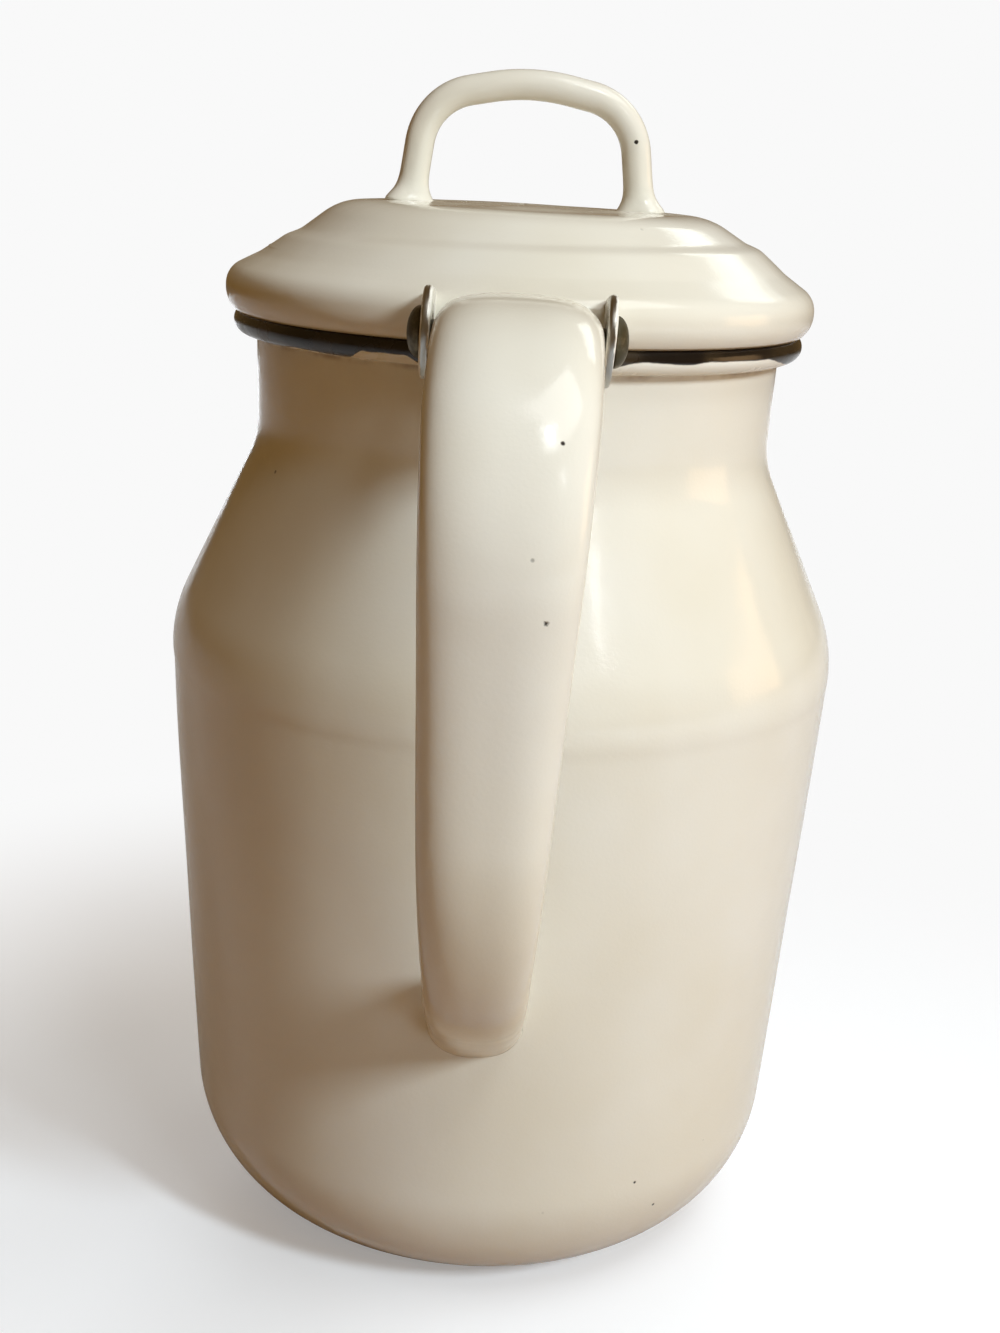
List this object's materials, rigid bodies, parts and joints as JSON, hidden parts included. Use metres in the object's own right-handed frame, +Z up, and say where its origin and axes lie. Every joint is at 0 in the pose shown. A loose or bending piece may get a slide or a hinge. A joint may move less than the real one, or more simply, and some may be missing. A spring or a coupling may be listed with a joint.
{
  "type": "enamel coffee pot",
  "caption": "Enamelled steel coffee pot with a tapered cup, drawn-in neck, hollow back handle, long spout and a hinged domed lid with a rod handle.",
  "frame": {"origin": "centre of the flat base, on the pot's axis, on the table", "axes": "+Z up, +Y forward along the spout, the handle at -Y and the hinge pin along X"},
  "size_m": [0.1392, 0.2358, 0.2417],
  "materials": {
    "enamel_white": "glossy vitreous enamel on steel sheet",
    "enamel_black": "glossy vitreous enamel on steel",
    "hinge_steel": "worn and dulled steel"
  },
  "bodies": {
    "pot": {"body_cup": "enamel_white", "shoulder_neck": "enamel_white", "rim_bead": "enamel_black", "spout_left_half": "enamel_white", "spout_right_half": "enamel_white", "spout_lip": "enamel_black", "handle_outer_half": "enamel_white", "handle_inner_half": "enamel_white", "hinge_pin": "hinge_steel"},
    "lid": {"lid_shell": "enamel_white", "lid_collar": "enamel_white", "lid_handle": "enamel_white", "hinge_lug_left": "enamel_white", "hinge_lug_right": "enamel_white"}
  },
  "joints": [
    {"name": "lid_hinge", "type": "hinge", "parent": "pot", "child": "lid", "pos_m": [0, -0.06699, 0.196], "axis": [1, 0, 0], "range_deg": [0, 90]}
  ]
}
